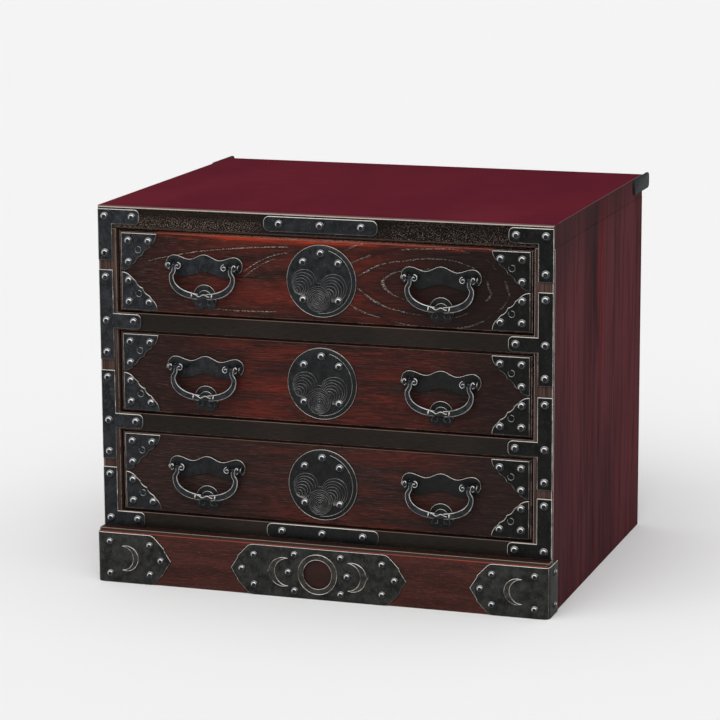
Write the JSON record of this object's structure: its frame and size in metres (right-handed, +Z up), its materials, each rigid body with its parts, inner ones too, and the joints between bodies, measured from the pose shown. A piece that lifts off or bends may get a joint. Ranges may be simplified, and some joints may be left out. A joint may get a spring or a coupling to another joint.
{
  "type": "tabletop drawer chest",
  "caption": "Tabletop chest of lacquered wood with sliding drawers, black iron corner plates, round centre plates and swinging bail handles",
  "frame": {"origin": "on the surface that the chest stands on, below the middle of its width and of its whole depth", "axes": "+X to the right of the front, +Y to the back, +Z up"},
  "size_m": [0.4066, 0.3444, 0.326],
  "materials": {
    "red_lacquer": "smooth wine-red lacquer on wood",
    "side_lacquer": "streaked dark red lacquer on wood",
    "dark_lacquer": "near-black lacquer on wood",
    "front_lacquer": "red-brown lacquer with the grain showing",
    "plain_wood": "plain unfinished softwood",
    "black_iron": "black wrought iron with worn bright edges"
  },
  "bodies": {
    "cabinet": {"top_board": "red_lacquer", "top_edging": "dark_lacquer", "side_left": "side_lacquer", "side_right": "side_lacquer", "back_panel": "side_lacquer", "bottom_board": "plain_wood", "upper_shelf": "plain_wood", "lower_shelf": "plain_wood", "upper_rail": "dark_lacquer", "lower_rail": "dark_lacquer", "bottom_rail": "dark_lacquer", "plinth_board": "front_lacquer", "top_corner_plates": "black_iron", "upper_edge_plates": "black_iron", "lower_edge_plates": "black_iron", "bottom_corner_plates": "black_iron", "top_centre_plate": "black_iron", "bottom_centre_plate": "black_iron", "plinth_corner_plates": "black_iron", "plinth_centre_plate": "black_iron", "rear_lugs": "black_iron", "frame_nails": "black_iron", "plinth_nails": "black_iron"},
    "top_drawer": {"top_drawer_front": "front_lacquer", "top_drawer_side_left": "plain_wood", "top_drawer_side_right": "plain_wood", "top_drawer_back": "plain_wood", "top_drawer_floor": "plain_wood", "top_drawer_corner_plates": "black_iron", "top_drawer_disc": "black_iron", "top_drawer_handle_plates": "black_iron", "top_drawer_eyes": "black_iron", "top_drawer_nails": "black_iron"},
    "top_drawer_bail_left": {"top_drawer_bail_left": "black_iron"},
    "top_drawer_bail_right": {"top_drawer_bail_right": "black_iron"},
    "middle_drawer": {"middle_drawer_front": "front_lacquer", "middle_drawer_side_left": "plain_wood", "middle_drawer_side_right": "plain_wood", "middle_drawer_back": "plain_wood", "middle_drawer_floor": "plain_wood", "middle_drawer_corner_plates": "black_iron", "middle_drawer_disc": "black_iron", "middle_drawer_handle_plates": "black_iron", "middle_drawer_eyes": "black_iron", "middle_drawer_nails": "black_iron"},
    "middle_drawer_bail_left": {"middle_drawer_bail_left": "black_iron"},
    "middle_drawer_bail_right": {"middle_drawer_bail_right": "black_iron"},
    "bottom_drawer": {"bottom_drawer_front": "front_lacquer", "bottom_drawer_side_left": "plain_wood", "bottom_drawer_side_right": "plain_wood", "bottom_drawer_back": "plain_wood", "bottom_drawer_floor": "plain_wood", "bottom_drawer_corner_plates": "black_iron", "bottom_drawer_disc": "black_iron", "bottom_drawer_handle_plates": "black_iron", "bottom_drawer_eyes": "black_iron", "bottom_drawer_nails": "black_iron"},
    "bottom_drawer_bail_left": {"bottom_drawer_bail_left": "black_iron"},
    "bottom_drawer_bail_right": {"bottom_drawer_bail_right": "black_iron"}
  },
  "joints": [
    {"name": "top_drawer_slide", "type": "slide", "parent": "cabinet", "child": "top_drawer", "axis": [0, -1, 0], "range_m": [0, 0.19]},
    {"name": "top_drawer_bail_left_hinge", "type": "hinge", "parent": "top_drawer", "child": "top_drawer_bail_left", "pos_m": [-0.104, -0.15955, 0.27805], "axis": [-1, 0, 0], "range_deg": [0, 165]},
    {"name": "top_drawer_bail_right_hinge", "type": "hinge", "parent": "top_drawer", "child": "top_drawer_bail_right", "pos_m": [0.104, -0.15955, 0.27805], "axis": [-1, 0, 0], "range_deg": [0, 165]},
    {"name": "middle_drawer_slide", "type": "slide", "parent": "cabinet", "child": "middle_drawer", "axis": [0, -1, 0], "range_m": [0, 0.19]},
    {"name": "middle_drawer_bail_left_hinge", "type": "hinge", "parent": "middle_drawer", "child": "middle_drawer_bail_left", "pos_m": [-0.104, -0.15955, 0.19105], "axis": [-1, 0, 0], "range_deg": [0, 165]},
    {"name": "middle_drawer_bail_right_hinge", "type": "hinge", "parent": "middle_drawer", "child": "middle_drawer_bail_right", "pos_m": [0.104, -0.15955, 0.19105], "axis": [-1, 0, 0], "range_deg": [0, 165]},
    {"name": "bottom_drawer_slide", "type": "slide", "parent": "cabinet", "child": "bottom_drawer", "axis": [0, -1, 0], "range_m": [0, 0.19]},
    {"name": "bottom_drawer_bail_left_hinge", "type": "hinge", "parent": "bottom_drawer", "child": "bottom_drawer_bail_left", "pos_m": [-0.104, -0.15955, 0.10405], "axis": [-1, 0, 0], "range_deg": [0, 165]},
    {"name": "bottom_drawer_bail_right_hinge", "type": "hinge", "parent": "bottom_drawer", "child": "bottom_drawer_bail_right", "pos_m": [0.104, -0.15955, 0.10405], "axis": [-1, 0, 0], "range_deg": [0, 165]}
  ]
}
